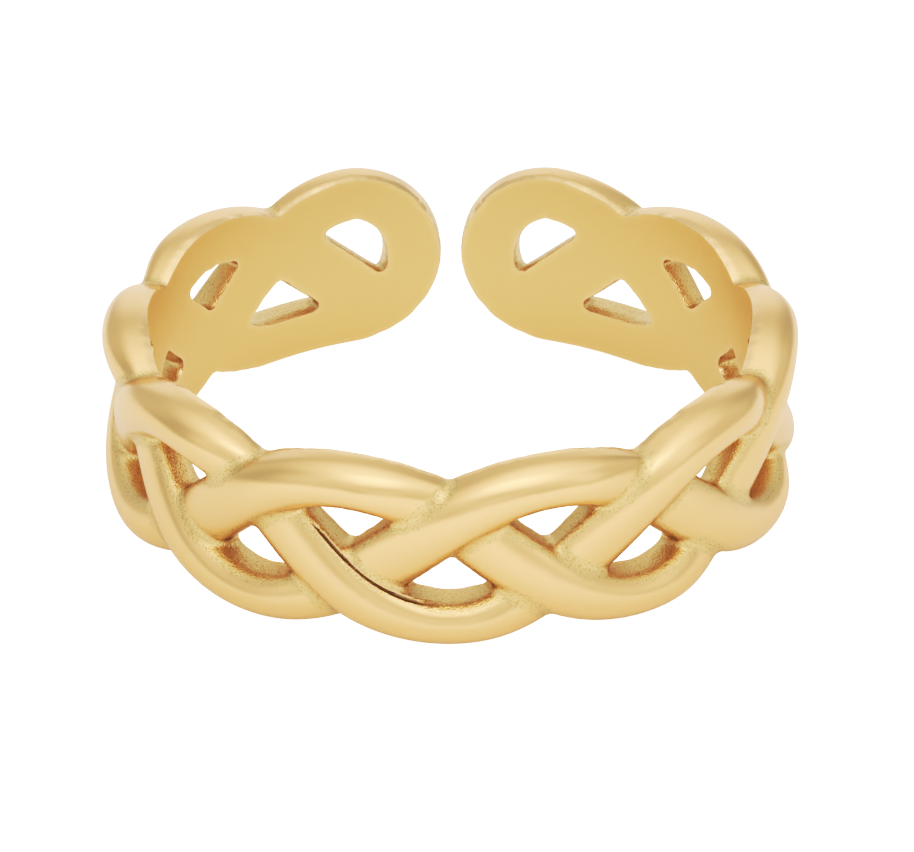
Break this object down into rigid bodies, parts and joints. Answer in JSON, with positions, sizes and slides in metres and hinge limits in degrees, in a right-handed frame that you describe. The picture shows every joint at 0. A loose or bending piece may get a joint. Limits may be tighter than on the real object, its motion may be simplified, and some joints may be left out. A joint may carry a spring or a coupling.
{
  "type": "braided band ring",
  "caption": "Open cast finger ring: a pierced, flat braided band in relief, with rounded looped ends that meet at a narrow adjustable gap.",
  "frame": {"origin": "on the axis of the bore, at the band's lower edge, so the ring lies on its side on z = 0", "axes": "+Z along the bore axis (the finger), -Y towards the front of the braid, +Y towards the opening, +X to the right"},
  "size_m": [0.0198, 0.0197, 0.0055],
  "materials": {
    "gold": "pale yellow gold plate: satin strands and bore, grainy cast hole walls and valleys"
  },
  "bodies": {
    "root": {"braided_band": "gold"}
  },
  "joints": []
}
